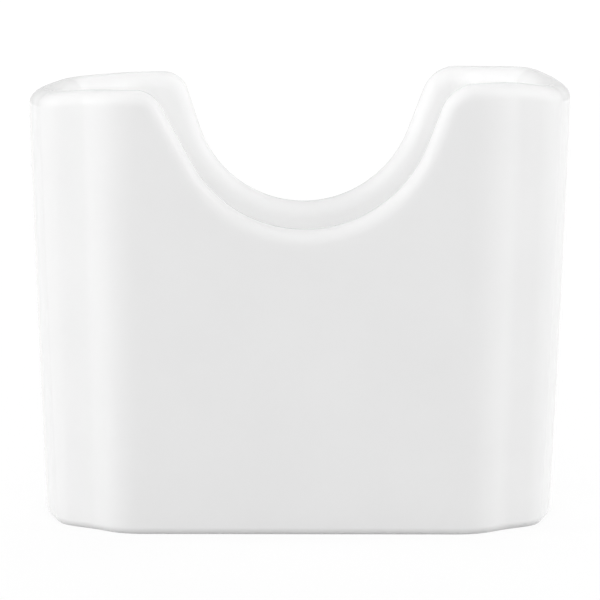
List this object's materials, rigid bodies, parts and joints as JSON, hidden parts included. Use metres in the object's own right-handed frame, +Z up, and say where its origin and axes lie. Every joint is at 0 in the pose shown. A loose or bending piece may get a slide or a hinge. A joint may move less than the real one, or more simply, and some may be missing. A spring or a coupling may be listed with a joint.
{
  "type": "sugar packet holder",
  "caption": "Glazed porcelain tabletop holder for sugar packets: an open-topped rectangular well with angled corners, a rounded rim and a rounded finger notch in its front and back walls.",
  "frame": {"origin": "on the table, under the middle of the holder", "axes": "+Z up, +X along the length to the right as seen from the front, +Y towards the back; the pictured front faces -Y"},
  "size_m": [0.089, 0.054, 0.0724],
  "materials": {
    "bare_porcelain": "matte, fine-grained",
    "white_glaze": "high gloss"
  },
  "bodies": {
    "root": {"porcelain_body": "bare_porcelain", "glaze_coat": "white_glaze", "underside_glaze": "white_glaze"}
  },
  "joints": []
}
